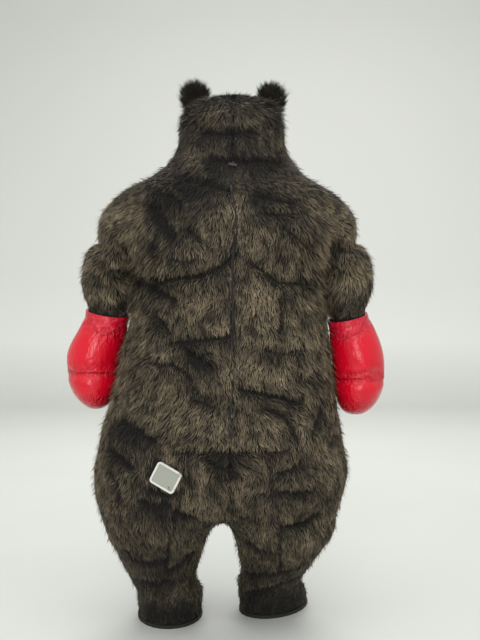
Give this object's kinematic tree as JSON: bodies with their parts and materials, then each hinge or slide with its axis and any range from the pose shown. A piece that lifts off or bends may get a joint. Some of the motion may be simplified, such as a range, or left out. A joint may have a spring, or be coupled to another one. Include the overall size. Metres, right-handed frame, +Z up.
{
  "type": "worn bear costume: full-body long fur suit with bear head and padded boxing gloves",
  "caption": "Standing full-body bear costume of long dark brown fur cloth with an open hollow inside, glossy red padded boxing gloves, dark soles and a plain pale patch on the seat.",
  "frame": {"origin": "on the middle line at the height where the wearer's shoulders carry the costume, 1.45 m above the soles", "axes": "+Z up along the standing figure, +Y the way the bear faces, +X its right hand side"},
  "size_m": [1.181, 0.666, 1.9828],
  "materials": {
    "fur": "long lying pile, matte with a faint sheen",
    "glove_vinyl": "glossy padded vinyl cloth",
    "sole_rubber": "matte",
    "hard_trim": "polished",
    "zip_metal": "satin",
    "patch_cloth": "close weave with a faint metallic sheen",
    "binding_tape": "matte woven tape"
  },
  "bodies": {
    "root": {"hood_back_left": "fur", "ear_left": "fur", "back_left": "fur", "shoulder_left": "fur", "sleeve_left": "fur", "seat_left": "fur", "leg_side_left": "fur", "leg_front_left": "fur", "foot_left": "fur", "glove_cuff_left": "glove_vinyl", "glove_hand_left": "glove_vinyl", "glove_knuckles_left": "glove_vinyl", "glove_thumb_left": "glove_vinyl", "sole_left": "sole_rubber", "eye_left": "hard_trim", "hood_back_right": "fur", "ear_right": "fur", "back_right": "fur", "shoulder_right": "fur", "sleeve_right": "fur", "seat_right": "fur", "leg_side_right": "fur", "leg_front_right": "fur", "foot_right": "fur", "glove_cuff_right": "glove_vinyl", "glove_hand_right": "glove_vinyl", "glove_knuckles_right": "glove_vinyl", "glove_thumb_right": "glove_vinyl", "sole_right": "sole_rubber", "eye_right": "hard_trim", "face": "fur", "muzzle": "fur", "front_left": "fur", "front_right": "fur", "nose": "hard_trim", "zip_chain": "zip_metal", "zip_slider": "zip_metal", "patch": "patch_cloth", "patch_binding": "binding_tape"}
  },
  "joints": []
}
